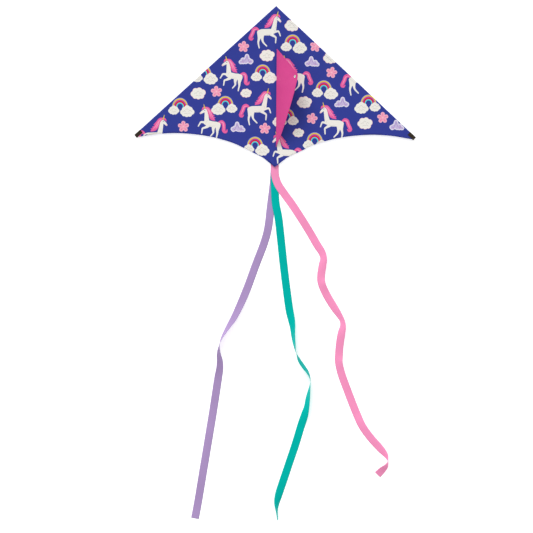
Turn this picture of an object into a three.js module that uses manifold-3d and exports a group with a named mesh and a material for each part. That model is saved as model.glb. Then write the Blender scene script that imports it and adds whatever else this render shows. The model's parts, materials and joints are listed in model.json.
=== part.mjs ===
// Single-line delta kite, laid out on its back with its three ribbon tails.
// Millimetres. +Z up, +Y from the tails to the nose, +X to the right wing (keel side up).
// The origin is on the surface, under the middle of the laid-out kite and tails.
import * as THREE from 'three';
import * as BufferGeometryUtils from 'three/addons/utils/BufferGeometryUtils.js';
import Module from 'manifold-3d';

const wasm = await Module();
wasm.setup();

// ---- driving dimensions -------------------------------------------------------------
const overallLength = 2622;          // nose to the ends of the tails
const noseY = overallLength / 2;
const kiteLength = 822;              // nose to the rear corner of the sail
const edgeLength = 975;              // nose to wing tip, along the leading edge
const edgeAngle = THREE.MathUtils.degToRad(42.8);   // leading edge below the X axis

const clothThick = 0.7;              // stands in for about 0.1 mm of coated cloth
const sailLow = 11.3;                // underside of the sail
const sailTop = sailLow + clothThick;
const foldX = 6;                     // the two fold lines, either side of the spine
const foldGap = 0.3;                 // from a fold line to the edge of its wing
const stripHalf = 5;                 // half the width of the centre strip

const clearance = 0.3;               // between pieces that touch in the real kite
const roundSides = 20;
const rodRadius = 2;                 // all four fibreglass rods are 4 mm
const sparZ = 8.2;                   // centre of the spine and leading-edge spars
const sleeveInner = 2.3;
const sleeveOuter = 2.8;
const sparInset = 3.3;               // leading-edge spar axis, in from the edge of the sail
const capLength = 18;
const capFloor = 1.5;

// distances from the nose, along the leading edge
const frontCapEnd = 62;
const sparFrom = 74;
const sleeveFrom = 90;
const sleeveTo = 932;
const sparTo = 963;
const tipCapEnd = 969;
const pocketFrom = 938;              // the webbing pocket folded over the wing tip
const pocketTo = 978.3;

// distances from the nose, along the spine
const nosePocketEnd = 9.6;
const spineFrontEnd = 11;
const spineSleeveFrom = 48;
const nosePocketOpen = 50;
const spineSleeveTo = 762;
const tailPocketOpen = 770;
const spineRearEnd = 808;
const tailPocketEnd = 811;
const rodInCap = 6;                  // from a spine cap's closed end to the end of its rod

const webThick = 0.8;
const webLow = 4.2;                  // underside of all the webbing
const tipWebWidth = 20;
const tipWebOverhang = 1;            // past the edge of the sail
const spineWebThick = 0.7;
const spineWebWidth = 14;

const spreaderDrop = 350;            // nose to the spreader, measured down the spine
const spreaderZ = 3;
const sleeveCutAhead = 24;           // the sleeve is cut away round the spreader's hook
const sleeveCutBehind = 36;
const cradleLength = 26;
const cradleTop = 10;
const cradleWall = 3;
const lipTop = 5;
const lipEdge = 0.5;                 // in from the edge of the sail
const socketMouth = 45;
const rodEndInset = 17;
const socketEnd = 10.5;
const socketHalf = 5;
const socketTop = 5.9;

const patchThick = 0.4;              // the reinforcing patch where the spreader bears
const patchHalf = 30;
const patchReach = 40;
const patchEdge = 6.6;
const patchTaper = 0.4;

const keelFront = 218;               // where the keel starts and ends, from the nose
const keelRear = 721;
const keelReach = 163;               // from the hinge line to the tow point corner
const keelLean = THREE.MathUtils.degToRad(50);       // above the right wing
const keelThick = 0.8;
const keelEdge = 0.7;                // clear of the hinge line
const keelHingeX = 5;                // beside the spine
const keelHingeZ = sailTop + clearance;
const towReach = 142;                // centre of the grommet, across and along the keel
const towDrop = 375;
const grommetHole = 4.25;
const grommetStem = 4.9;
const grommetOuter = 7.5;
const grommetFlange = 0.8;
const grommetRoll = 0.4;             // how far the stem is rolled past the washer
const grommetSides = 28;

const ribbonWidth = 40;
const ribbonThick = 1;
const ribbonRoot = 775;              // from the nose to the sewn end of the ribbons
const ribbonSteps = 110;
const tailLayer = 1.35;              // from one ribbon to the next where they are stacked

// ---- materials ----------------------------------------------------------------------
const finish = (color, roughness, metalness = 0) => () =>
  new THREE.MeshStandardMaterial({ color, roughness, metalness });
const sailCloth = finish(0x2d3996, 0.62);
const keelCloth = finish(0xde4896, 0.6);
const lilacSatin = finish(0xb099c8, 0.45);
const tealSatin = finish(0x00b4aa, 0.45);
const pinkSatin = finish(0xf5a0c8, 0.45);
const darkWebbing = finish(0x32281c, 0.85);
const blackFibreglass = finish(0x1b1b1d, 0.4);
const blackVinyl = finish(0x161616, 0.55);
const blackNylon = finish(0x1d1d1f, 0.45);
const nickel = finish(0xd8d6d0, 0.3, 1);

const kite = new THREE.Group();

function add(parent, name, geometry, material) {
  const mesh = new THREE.Mesh(geometry, material());
  mesh.name = name;
  parent.add(mesh);
  return mesh;
}

// ---- helpers ------------------------------------------------------------------------
// A flat sheet from a plan outline, with its underside at `low`.
function sheet(shape, low, thick) {
  const geometry = new THREE.ExtrudeGeometry(shape, {
    depth: thick, bevelEnabled: false, curveSegments: 10,
  });
  return geometry.translate(0, 0, low);
}

// A closed outline from plan points.
const outline = (points) => new THREE.Shape(points.map(([x, y]) => new THREE.Vector2(x, y)));

// A rod, tube or cap along X: a lathe profile of [along, radius] pairs, turned to lie down.
function turned(profile) {
  const points = profile.map(([along, radius]) => new THREE.Vector2(radius, along));
  if (THREE.ShapeUtils.isClockWise(points)) points.reverse();
  const geometry = new THREE.LatheGeometry([...points, points[0]], roundSides);
  return geometry.rotateZ(-Math.PI / 2);
}

const rod = (from, to, radius = rodRadius) => turned([
  [from, 0], [from, radius], [to, radius], [to, 0],
]);

const tube = (from, to) => turned([
  [from, sleeveInner], [from, sleeveOuter], [to, sleeveOuter], [to, sleeveInner],
]);

// A soft end cap: closed at `end`, open towards the rod.
function cap(end, open) {
  const floor = end + Math.sign(open - end) * capFloor;
  return turned([
    [end, 0], [end, sleeveOuter], [open, sleeveOuter], [open, sleeveInner],
    [floor, sleeveInner], [floor, 0],
  ]);
}

function toSolid(geometry) {
  const bare = geometry.clone();
  bare.deleteAttribute('normal');
  bare.deleteAttribute('uv');
  const merged = BufferGeometryUtils.mergeVertices(bare, 1e-4);
  return new wasm.Manifold(new wasm.Mesh({
    numProp: 3,
    vertProperties: new Float32Array(merged.attributes.position.array),
    triVerts: new Uint32Array(merged.index.array),
  }));
}

function toGeometry(solid) {
  const mesh = solid.getMesh();
  const geometry = new THREE.BufferGeometry();
  geometry.setAttribute('position', new THREE.BufferAttribute(mesh.vertProperties, 3));
  geometry.setIndex(new THREE.BufferAttribute(mesh.triVerts, 1));
  return geometry;
}

// A box from its lowest corner to its highest.
function block(low, high) {
  const size = high.map((value, axis) => value - low[axis]);
  return new THREE.BoxGeometry(...size).translate(...low.map((value, axis) => value + size[axis] / 2));
}

// ---- wings --------------------------------------------------------------------------
// The trailing edge as [out, down] from the nose: from the square-cut tip round to the straight
// run into the rear corner.
const rearRun = [60, 774];
const trailingEdge = new THREE.SplineCurve([
  [703.8, 675], [650, 666], [587, 657], [480, 653], [342, 667], [219, 699], [130, 740], rearRun,
].map(([x, down]) => new THREE.Vector2(x, down)));
const trailingSteps = 28;
const rearCornerSlope = (kiteLength - rearRun[1]) / rearRun[0];

// The straight line of the leading edge, `along` it from the nose.
const edgePoint = (along) => [along * Math.cos(edgeAngle), along * Math.sin(edgeAngle)];

function wingOutline(side) {
  const inner = foldX + foldGap;
  const points = [
    [inner, inner * Math.tan(edgeAngle)],
    edgePoint(edgeLength),
    ...trailingEdge.getPoints(trailingSteps).map((point) => [point.x, point.y]),
    [inner, kiteLength - inner * rearCornerSlope],
  ];
  return outline(points.map(([x, down]) => [side * x, noseY - down]));
}

const spreaderAlong = spreaderDrop / Math.sin(edgeAngle);

for (const [side, label] of [[-1, 'left'], [1, 'right']]) {
  add(kite, `sail_${label}`, sheet(wingOutline(side), sailLow, clothThick), sailCloth);

  // Everything along the leading edge is placed from the nose: +X out along the edge, and
  // `inward` turns a distance in from the edge into a local Y.
  const edge = new THREE.Group();
  edge.position.set(0, noseY, 0);
  edge.rotation.z = side > 0 ? -edgeAngle : Math.PI + edgeAngle;
  kite.add(edge);
  const inward = (distance) => -side * distance;

  const axis = new THREE.Group();
  axis.position.set(0, inward(sparInset), sparZ);
  edge.add(axis);
  add(axis, `leading_edge_spar_${label}`, rod(sparFrom, sparTo), blackFibreglass);
  add(axis, `spar_cap_front_${label}`, cap(frontCapEnd, frontCapEnd + capLength), blackVinyl);
  add(axis, `spar_cap_tip_${label}`, cap(tipCapEnd, tipCapEnd - capLength), blackVinyl);
  const frontSleeve = tube(sleeveFrom, spreaderAlong - sleeveCutAhead);
  const rearSleeve = tube(spreaderAlong + sleeveCutBehind, sleeveTo);
  add(axis, `leading_edge_sleeve_front_${label}`, frontSleeve, sailCloth);
  add(axis, `leading_edge_sleeve_rear_${label}`, rearSleeve, sailCloth);

  // Webbing folded over the wing tip, open along both of its sides.
  const webHigh = sailTop + clearance + webThick;
  const fold = outline([
    [pocketFrom, webLow], [pocketTo, webLow], [pocketTo, webHigh], [pocketFrom, webHigh],
    [pocketFrom, webHigh - webThick], [pocketTo - webThick, webHigh - webThick],
    [pocketTo - webThick, webLow + webThick], [pocketFrom, webLow + webThick],
  ]);
  const webbing = new THREE.ExtrudeGeometry(fold, { depth: tipWebWidth, bevelEnabled: false });
  webbing.rotateX(Math.PI / 2);
  const tip = add(edge, `wing_tip_pocket_${label}`, webbing, darkWebbing);
  tip.position.y = side > 0 ? tipWebOverhang : tipWebWidth - tipWebOverhang;

  // A patch on the back of the sail where the spreader bears.
  const patch = outline([
    [spreaderAlong - patchHalf, inward(patchEdge)],
    [spreaderAlong + patchHalf, inward(patchEdge)],
    [spreaderAlong + patchHalf * patchTaper, inward(patchReach)],
    [spreaderAlong - patchHalf * patchTaper, inward(patchReach)],
  ]);
  const patchLow = sailLow - clearance - patchThick;
  add(edge, `spreader_patch_${label}`, sheet(patch, patchLow, patchThick), sailCloth);
}

// ---- spine --------------------------------------------------------------------------
// The seam tape that joins the two wings and the keel, pointed at the nose and at the rear.
const stripPlan = [
  [0, 0], [stripHalf, stripHalf * Math.tan(edgeAngle)],
  [stripHalf, kiteLength - stripHalf * rearCornerSlope], [0, kiteLength],
  [-stripHalf, kiteLength - stripHalf * rearCornerSlope],
  [-stripHalf, stripHalf * Math.tan(edgeAngle)],
].map(([x, down]) => [x, noseY - down]);
add(kite, 'centre_strip', sheet(outline(stripPlan), sailLow, clothThick), sailCloth);

const spine = new THREE.Group();          // +X runs from the nose to the rear corner
spine.position.set(0, noseY, sparZ);
spine.rotation.z = -Math.PI / 2;
kite.add(spine);
add(spine, 'spine_spar', rod(spineFrontEnd + rodInCap, spineRearEnd - rodInCap), blackFibreglass);
add(spine, 'spine_cap_front', cap(spineFrontEnd, spineFrontEnd + capLength), blackVinyl);
add(spine, 'spine_cap_rear', cap(spineRearEnd, spineRearEnd - capLength), blackVinyl);
add(spine, 'spine_sleeve', tube(spineSleeveFrom, spineSleeveTo), sailCloth);

// Webbing that holds each end of the spine: a strip under the rod with its end turned up.
function spinePocket(name, end, open) {
  const low = webLow - sparZ;
  const floor = low + spineWebThick;
  const high = sailLow - patchThick - sparZ;
  const turn = end + Math.sign(open - end) * spineWebThick;
  const profile = outline([
    [end, low], [open, low], [open, floor], [turn, floor], [turn, high], [end, high],
  ]);
  const strip = new THREE.ExtrudeGeometry(profile, { depth: spineWebWidth, bevelEnabled: false });
  strip.rotateX(Math.PI / 2);
  strip.translate(0, spineWebWidth / 2, 0);
  add(spine, name, strip, darkWebbing);
}
spinePocket('nose_pocket', nosePocketEnd, nosePocketOpen);
spinePocket('tail_pocket', tailPocketEnd, tailPocketOpen);

// ---- keel ---------------------------------------------------------------------------
// The keel is drawn flat, [across, down] from the spine line, then leaned over its hinge line.
const keel = new THREE.Group();
keel.position.set(keelHingeX, noseY, keelHingeZ);
keel.rotation.y = -keelLean;
kite.add(keel);

const keelShape = new THREE.Shape();
keelShape.moveTo(keelEdge, -keelFront);
keelShape.quadraticCurveTo(78, -283, keelReach - 2, -361);
keelShape.quadraticCurveTo(keelReach + 2, -373, keelReach - 1, -389);
keelShape.quadraticCurveTo(112, -560, keelEdge, -keelRear);
keelShape.closePath();
const washerHole = grommetStem + clearance;
const holePoints = Array.from({ length: grommetSides }, (_, i) => {
  const angle = i / grommetSides * Math.PI * 2;
  return new THREE.Vector2(towReach, -towDrop)
    .add(new THREE.Vector2(Math.cos(angle), Math.sin(angle)).multiplyScalar(washerHole));
});
keelShape.holes.push(new THREE.Path(holePoints));
add(keel, 'keel_panel', sheet(keelShape, -keelThick / 2, keelThick), keelCloth);

// Both halves of the grommet are turned about the line through the hole.
function grommetPart(name, profile) {
  const points = profile.map(([radius, height]) => new THREE.Vector2(radius, height));
  const geometry = new THREE.LatheGeometry([...points, points[0]], grommetSides).rotateX(Math.PI / 2);
  const mesh = add(keel, name, geometry, nickel);
  mesh.position.set(towReach, -towDrop, 0);
}
const flangeLow = keelThick / 2 + clearance;
const flangeHigh = flangeLow + grommetFlange;
const rolledEnd = -flangeHigh - grommetRoll;
grommetPart('grommet_eyelet', [
  [grommetHole, rolledEnd], [grommetStem, rolledEnd], [grommetStem, flangeLow],
  [grommetOuter, flangeLow], [grommetOuter, flangeHigh], [grommetHole, flangeHigh],
]);
grommetPart('grommet_washer', [
  [washerHole, -flangeHigh], [grommetOuter, -flangeHigh], [grommetOuter, -flangeLow],
  [washerHole, -flangeLow],
]);

// ---- spreader -----------------------------------------------------------------------
const spreader = new THREE.Group();
spreader.position.set(0, noseY - spreaderDrop, 0);
kite.add(spreader);

// A moulded hook at each end: a socket for the rod, and an open seat for the leading-edge spar.
const [edgeX] = edgePoint(spreaderAlong);
const rodHalf = edgeX - rodEndInset;
const wallFrom = sparInset + rodRadius + clearance;
const byX = (a, b) => a - b;
for (const [side, label] of [[-1, 'left'], [1, 'right']]) {
  const placeOnEdge = new THREE.Matrix4().makeRotationZ(side > 0 ? -edgeAngle : Math.PI + edgeAngle);
  placeOnEdge.setPosition(side * edgeX, 0, 0);
  const seat = (from, to, high) => {
    const [near, far] = [-side * from, -side * to].sort(byX);
    return toSolid(block([-cradleLength / 2, near, 0], [cradleLength / 2, far, high])
      .applyMatrix4(placeOnEdge));
  };
  const lip = seat(lipEdge, wallFrom + cradleWall, lipTop);
  const wall = seat(wallFrom, wallFrom + cradleWall, cradleTop);
  const [socketLow, socketHigh] = [side * (edgeX - socketMouth), side * (edgeX - socketEnd)].sort(byX);
  const socket = toSolid(block([socketLow, -socketHalf, 0], [socketHigh, socketHalf, socketTop]));
  const boreEnds = [side * (edgeX - socketMouth - 1), side * (rodHalf + 1)].sort(byX);
  const bore = toSolid(rod(...boreEnds, sleeveInner).translate(0, 0, spreaderZ));
  const cradle = socket.add(wall).add(lip).subtract(bore);
  add(spreader, `spreader_cradle_${label}`, toGeometry(cradle), blackNylon);
}
const spreaderRod = add(spreader, 'spreader_rod', rod(-rodHalf, rodHalf), blackFibreglass);
spreaderRod.position.z = spreaderZ;

// ---- tails --------------------------------------------------------------------------
// Each ribbon lies along stations of [across, down from the nose, turn about its own length in
// degrees]: 0 lies face up, 90 stands on its edge, 180 lies face down.
const tails = {
  tail_lilac: {
    layer: 0,
    landing: [ribbonRoot, overallLength],
    material: lilacSatin,
    stations: [
      [0, ribbonRoot, 0], [-2, 850, 0], [-8, 930, 0], [-18, 1013, 0], [-32, 1135, 0], [-50, 1205, 0],
      [-92, 1319, 0], [-136, 1442, 3], [-174, 1534, 22], [-204, 1596, 38], [-224, 1628, 52],
      [-243, 1660, 64], [-261, 1692, 76], [-273, 1722, 88], [-278, 1752, 104], [-277, 1782, 120],
      [-272, 1812, 136], [-272, 1848, 150], [-280, 1902, 168], [-302, 2055, 180], [-321, 2178, 180],
      [-350, 2362, 180], [-379, 2546, 180], [-392, overallLength - 3.5, 180],
    ],
  },
  tail_teal: {
    layer: 1,
    landing: [1240, 1420],
    material: tealSatin,
    stations: [
      [0, ribbonRoot, 0], [0, 860, 0], [1, 935, 0], [7, 1012, 0], [20, 1075, 0], [35, 1196, 0],
      [49, 1318, 0], [65, 1440, 0], [82, 1555, 10], [92, 1600, 28], [98, 1640, 48], [102, 1685, 62],
      [108, 1725, 72], [117, 1768, 90], [133, 1806, 112], [154, 1837, 116], [174, 1864, 110],
      [187, 1893, 98], [190, 1928, 88], [185, 1960, 74], [179, 2000, 58], [173, 2045, 48],
      [163, 2085, 24], [145, 2143, 0], [118, 2235, 0], [78, 2358, 0], [48, 2450, 0],
      [33, 2498, -18], [25, 2535, -46], [25, 2572, -74], [30, overallLength - 2, -84],
    ],
  },
  tail_pink: {
    layer: 2,
    landing: [975, 1140],
    material: pinkSatin,
    stations: [
      [0, ribbonRoot, 0], [0, 820, 0], [2, 862, 0], [17, 908, 0], [50, 957, 0], [92, 1014, 0],
      [170, 1133, 0], [222, 1220, 8], [245, 1256, 26], [253, 1286, 34], [248, 1320, 16],
      [241, 1378, 4], [244, 1412, 14], [269, 1469, 6], [306, 1530, 18], [334, 1572, 42],
      [350, 1600, 52], [355, 1628, 46], [348, 1665, 22], [340, 1720, 4], [336, 1775, 6],
      [335, 1812, 18], [347, 1866, 8], [381, 1958, 0], [430, 2080, 0], [459, 2141, 14],
      [505, 2203, 14], [552, 2254, 24], [577, 2284, 52], [587, 2311, 90], [580, 2340, 130],
      [560, 2364, 158], [538, 2387, 170],
    ],
  },
};

// The strip's section is carried along its stations and turned; its lower edge stays on the
// surface, apart from the stacked length under the rear corner, which comes down over `landing`.
function ribbon({ layer, landing, stations }) {
  const route = new THREE.CatmullRomCurve3(
    stations.map(([x, down, turn]) => new THREE.Vector3(x, noseY - down, turn)), false, 'centripetal');
  const lift = layer * tailLayer;
  const positions = [];
  for (let step = 0; step <= ribbonSteps; step++) {
    const station = route.getPointAt(step / ribbonSteps);
    const ahead = route.getTangentAt(step / ribbonSteps).setZ(0).normalize();
    const turn = THREE.MathUtils.degToRad(station.z);
    const across = new THREE.Vector3(-ahead.y, ahead.x, 0);
    const wide = across.clone().multiplyScalar(Math.cos(turn)).setZ(Math.sin(turn));
    const face = across.clone().multiplyScalar(-Math.sin(turn)).setZ(Math.cos(turn));
    const held = 1 - THREE.MathUtils.smoothstep(noseY - station.y, ...landing);
    const height = ribbonWidth / 2 * Math.abs(wide.z) + ribbonThick / 2 * Math.abs(face.z);
    const centre = new THREE.Vector3(station.x, station.y, height + lift * held);
    for (const [w, f] of [[-1, -1], [1, -1], [1, 1], [-1, 1]]) {
      const corner = centre.clone()
        .addScaledVector(wide, w * ribbonWidth / 2).addScaledVector(face, f * ribbonThick / 2);
      positions.push(corner.x, corner.y, corner.z);
    }
  }
  const index = [0, 2, 1, 0, 3, 2];
  for (let step = 0; step < ribbonSteps; step++) {
    for (let corner = 0; corner < 4; corner++) {
      const a = step * 4 + corner;
      const b = step * 4 + (corner + 1) % 4;
      // both broad faces are cut along the same diagonal, so a twist can't push one through the other
      if (corner < 2) index.push(a, b, a + 4, b, b + 4, a + 4);
      else index.push(a, b, b + 4, a, b + 4, a + 4);
    }
  }
  const last = ribbonSteps * 4;
  index.push(last, last + 1, last + 2, last, last + 2, last + 3);
  const geometry = new THREE.BufferGeometry();
  geometry.setAttribute('position', new THREE.Float32BufferAttribute(positions, 3));
  geometry.setIndex(index);
  return geometry;
}

for (const [name, tail] of Object.entries(tails)) {
  add(kite, name, ribbon(tail), tail.material);
}

export default kite;
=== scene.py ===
# Delta kite with three ribbon tails, laid out keel side up on a pale floor.
# Metres, apart from the tables of the print and the ribbons, which are in millimetres.
import json
import math
import random
from functools import partial

import bmesh
import bpy
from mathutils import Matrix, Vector, noise
from mathutils.geometry import delaunay_2d_cdt


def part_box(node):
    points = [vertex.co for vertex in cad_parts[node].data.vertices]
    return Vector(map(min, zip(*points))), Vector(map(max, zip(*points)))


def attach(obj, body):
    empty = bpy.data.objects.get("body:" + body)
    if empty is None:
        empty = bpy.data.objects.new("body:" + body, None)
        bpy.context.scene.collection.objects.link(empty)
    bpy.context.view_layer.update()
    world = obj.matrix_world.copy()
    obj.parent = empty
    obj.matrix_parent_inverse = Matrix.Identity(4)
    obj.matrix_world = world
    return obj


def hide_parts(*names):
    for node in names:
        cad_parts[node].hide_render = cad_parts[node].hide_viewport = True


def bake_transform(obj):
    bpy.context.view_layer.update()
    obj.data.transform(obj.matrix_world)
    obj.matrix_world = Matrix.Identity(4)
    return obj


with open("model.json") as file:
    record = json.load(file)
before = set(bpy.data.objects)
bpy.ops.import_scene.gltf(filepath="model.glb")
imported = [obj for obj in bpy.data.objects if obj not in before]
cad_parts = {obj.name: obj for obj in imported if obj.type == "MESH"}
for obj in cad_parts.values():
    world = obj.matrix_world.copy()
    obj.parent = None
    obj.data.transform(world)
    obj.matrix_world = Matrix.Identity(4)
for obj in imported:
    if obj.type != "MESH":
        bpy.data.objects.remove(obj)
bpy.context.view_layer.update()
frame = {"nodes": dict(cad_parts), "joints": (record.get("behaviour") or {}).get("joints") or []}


def jointPlace(name):
    return next(joint["pos_m"] for joint in frame["joints"] if joint["name"] == name)


# places taken from the frame
rearY, noseY = (corner.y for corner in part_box("centre_strip"))
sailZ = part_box("sail_right")[1].z - 0.00035  # the middle of the cloth
foldX = jointPlace("wing_right_fold")[0]
keelHinge = Vector(jointPlace("keel_swing"))
sparLow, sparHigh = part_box("spine_spar")
sparZ, sparRadius = (sparLow.z + sparHigh.z) / 2, (sparHigh.z - sparLow.z) / 2
random.seed(7)


def linked(name, data):
    holder = bpy.data.objects.new(name, data)
    bpy.context.scene.collection.objects.link(holder)
    return holder


# camera and light
print("camera and lights")
view = {"across": 2.718, "lens": 85.0, "aimX": -0.038, "aimY": -0.018, "roll": 0.5}
camera = linked("camera", bpy.data.cameras.new("camera"))
bpy.context.scene.camera = camera
camera.data.lens = view["lens"]
camera.data.clip_end = 50
camera.location = (view["aimX"], view["aimY"],
                   sailZ + view["across"] * view["lens"] / camera.data.sensor_width)
camera.rotation_euler = (0, 0, math.radians(view["roll"]))
bpy.context.scene.view_settings.view_transform = "Standard"

studio = {"worldLight": 0.73, "keyPower": 1.6, "keySpread": 24.0, "keyFrom": (-0.33, 0.77, 0.55)}
key = bpy.data.lights.new("keyLight", "SUN")
key.energy = studio["keyPower"]
key.angle = math.radians(studio["keySpread"])
linked("keyLight", key).rotation_euler = Vector(studio["keyFrom"]).to_track_quat("Z", "Y").to_euler()
world = bpy.data.worlds.new("studio")
bpy.context.scene.world = world
world.use_nodes = True
backdrop = world.node_tree.nodes["Background"].inputs
backdrop["Color"].default_value = (1, 1, 1, 1)
backdrop["Strength"].default_value = studio["worldLight"]


# shared shader effects
def newGroup(name, given):
    # inputs from a dictionary: a tuple makes a colour, None a vector and a number a value
    group = bpy.data.node_groups.new(name, "ShaderNodeTree")
    for label, value in given.items():
        kind = "Color" if isinstance(value, tuple) else "Vector" if value is None else "Float"
        socket = group.interface.new_socket(label, in_out="INPUT", socket_type="NodeSocket" + kind)
        if value is not None:
            socket.default_value = value
    for label, kind in (("Colour", "Color"), ("Roughness", "Float"), ("Height", "Float")):
        group.interface.new_socket(label, in_out="OUTPUT", socket_type="NodeSocket" + kind)
    return group, group.nodes.new("NodeGroupInput").outputs, partial(mathNode, group)


def wired(group, kind, settings=None, **links):
    # adds a node, sets its properties, and wires or sets its inputs by index (i0, i1...) or name
    node = group.nodes.new(kind)
    for key, value in (settings or {}).items():
        setattr(node, key, value)
    for key, value in links.items():
        socket = node.inputs[int(key[1:])] if key[0] == "i" and key[1:].isdigit() else node.inputs[key]
        if isinstance(value, bpy.types.NodeSocket):
            group.links.new(value, socket)
        else:
            socket.default_value = value
    return node


def mathNode(group, operation, *values):
    return wired(group, "ShaderNodeMath", {"operation": operation},
                 **{f"i{i}": v for i, v in enumerate(values)}).outputs[0]


def noiseAt(group, place, scale, detail):
    return wired(group, "ShaderNodeTexNoise", i0=place, Scale=scale, Detail=detail).outputs[0]


def eitherWay(group, pattern, amount):
    # a 0 to 1 pattern as a change up or down by half the amount
    return mathNode(group, "MULTIPLY", mathNode(group, "SUBTRACT", pattern, 0.5), amount)


def result(group, colour, shade, roughness, height):
    # the group's outputs, with its colour scaled by a shade when there is one
    if shade:
        colour = wired(group, "ShaderNodeVectorMath", {"operation": "SCALE"}, i0=colour, Scale=shade).outputs[0]
    wired(group, "NodeGroupOutput", Colour=colour, Roughness=roughness, Height=height)
    return group


def buildWeave():
    # plain weave: warp and weft threads that pass over each other, with a soft tone drift and painted shade that
    # darkens the low points between the threads
    group, given, maths = newGroup("plainWeave", {
        "Colour": (0.5, 0.5, 0.5, 1), "Place": None, "Thread": 0.0006, "Drift": 0.06, "Contrast": 0.08,
        "Roughness": 0.6})
    place = wired(group, "ShaderNodeSeparateXYZ", i0=given["Place"]).outputs
    turns = maths("DIVIDE", math.pi, given["Thread"])
    warp, weft = (maths("SINE", maths("MULTIPLY", place[i], turns)) for i in (0, 1))
    threads = maths("ADD", maths("ABSOLUTE", warp), maths("ABSOLUTE", weft))
    height = maths("MULTIPLY_ADD", maths("MULTIPLY", warp, weft), 0.35, maths("MULTIPLY", threads, 0.5))
    drift = eitherWay(group, noiseAt(group, given["Place"], 14.0, 4.0), given["Drift"])
    grain = eitherWay(group, noiseAt(group, given["Place"], 420.0, 2.0), given["Contrast"])
    # painted shade: the colour is darker where the weave's height is low, standing in for shade between the threads
    hollowShade = eitherWay(group, height, given["Contrast"])
    shade = maths("ADD", 1.0, maths("ADD", drift, maths("ADD", grain, hollowShade)))
    rough = maths("SUBTRACT", given["Roughness"], maths("MULTIPLY", drift, 0.8))
    return result(group, given["Colour"], shade, rough, height)


def buildSatin():
    # satin ribbon: fine ribs across, long floats along, two woven selvedges
    group, given, maths = newGroup("satinWeave", {
        "Colour": (0.5, 0.5, 0.5, 1), "Place": None, "Half width": 0.02, "Rib": 0.0007, "Streaks": 0.1,
        "Roughness": 0.42})
    place = wired(group, "ShaderNodeSeparateXYZ", i0=given["Place"]).outputs
    turns = maths("DIVIDE", math.pi, given["Rib"])
    rib = maths("ABSOLUTE", maths("SINE", maths("MULTIPLY", place[0], turns)))
    stretched = wired(group, "ShaderNodeVectorMath", {"operation": "MULTIPLY"},
                      i0=given["Place"], i1=(6.0, 900.0, 1.0)).outputs[0]
    streaks = eitherWay(group, noiseAt(group, stretched, 1.0, 3.0), given["Streaks"])
    cloudy = eitherWay(group, noiseAt(group, given["Place"], 6.0, 3.0), 0.3)
    selvedge = wired(group, "ShaderNodeMapRange", {"interpolation_type": "SMOOTHSTEP"}, **{
        "Value": maths("DIVIDE", maths("ABSOLUTE", place[1]), given["Half width"]),
        "From Min": 0.93, "From Max": 0.96}).outputs[0]
    shade = maths("ADD", 1.0, maths("ADD", streaks, cloudy))
    shade = maths("SUBTRACT", shade, maths("MULTIPLY", selvedge, 0.1))
    rough = maths("ADD", given["Roughness"], maths("MULTIPLY", selvedge, 0.2))
    height = maths("ADD", maths("MULTIPLY", rib, 0.5), selvedge)
    return result(group, given["Colour"], shade, rough, height)


def buildHandling():
    # handling marks for hard pieces: a fine grain and small scuffs
    group, given, maths = newGroup("handling", {
        "Colour": (0.5, 0.5, 0.5, 1), "Scuff colour": (0.2, 0.2, 0.2, 1), "Scuffs": 0.3, "Grain": 900.0,
        "Roughness": 0.45})
    place = wired(group, "ShaderNodeTexCoord").outputs["Object"]
    patchy = noiseAt(group, place, 160.0, 6.0)
    mark = wired(group, "ShaderNodeMapRange", **{"Value": patchy, "From Min": 0.58, "From Max": 0.72})
    amount = maths("MULTIPLY", mark.outputs[0], given["Scuffs"])
    mixed = wired(group, "ShaderNodeMix", {"data_type": "RGBA"},
                  i0=amount, i6=given["Colour"], i7=given["Scuff colour"])
    rough = maths("MULTIPLY_ADD", amount, 0.35, given["Roughness"])
    return result(group, mixed.outputs[2], None, rough, noiseAt(group, place, given["Grain"], 3.0))


print("shader groups")
weaveGroup = buildWeave()
satinGroup = buildSatin()
handlingGroup = buildHandling()


def shader(name, group, given, bumpHeight, flat):
    # a Principled material whose colour, roughness and relief come from one group
    material = bpy.data.materials.new(name)
    material.use_nodes = True
    tree = material.node_tree
    given = {label: value(tree) if callable(value) else value for label, value in given.items()}
    effect = wired(tree, "ShaderNodeGroup", {"node_tree": group}, **given).outputs
    bump = wired(tree, "ShaderNodeBump", Height=effect["Height"], Strength=0.6, Distance=bumpHeight)
    surface = tree.nodes["Principled BSDF"].inputs
    tree.links.new(effect["Colour"], surface["Base Color"])
    tree.links.new(effect["Roughness"], surface["Roughness"])
    tree.links.new(bump.outputs[0], surface["Normal"])
    for label, value in flat.items():
        surface[label].default_value = value
    return material


def fromUv(tree):
    return wired(tree, "ShaderNodeUVMap", {"uv_map": "lie"}).outputs[0]


def fromPrint(tree):
    # the colour laid down with the sail's own printed shapes
    return wired(tree, "ShaderNodeVertexColor", {"layer_name": "print"}).outputs[0]


def linear(red, green, blue):
    # a colour as seen on screen, 0 to 255, to the shader's own scale
    return tuple(((c / 255) / 12.92 if c <= 10 else ((c / 255 + 0.055) / 1.055) ** 2.4)
                 for c in (red, green, blue)) + (1.0,)


sailBlue = linear(44, 56, 146)


def clothMaterial(name, colour, thread=0.0006, relief=0.00012, roughness=0.6, contrast=0.08, sheen=0.15,
                  specular=0.22, tint=None):
    return shader(name, weaveGroup, {
        "Colour": colour, "Place": fromUv, "Thread": thread, "Roughness": roughness, "Contrast": contrast,
    }, relief, {"Sheen Weight": sheen, "Sheen Roughness": 0.4, "Sheen Tint": tint or colour,
                "Specular IOR Level": specular})


def satinMaterial(name, colour):
    return shader(name, satinGroup, {"Colour": colour, "Place": fromUv}, 0.00008, {
        "Sheen Weight": 0.05, "Sheen Roughness": 0.35, "Sheen Tint": colour, "Specular IOR Level": 0.03,
        "Anisotropic": 0.4})


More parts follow.
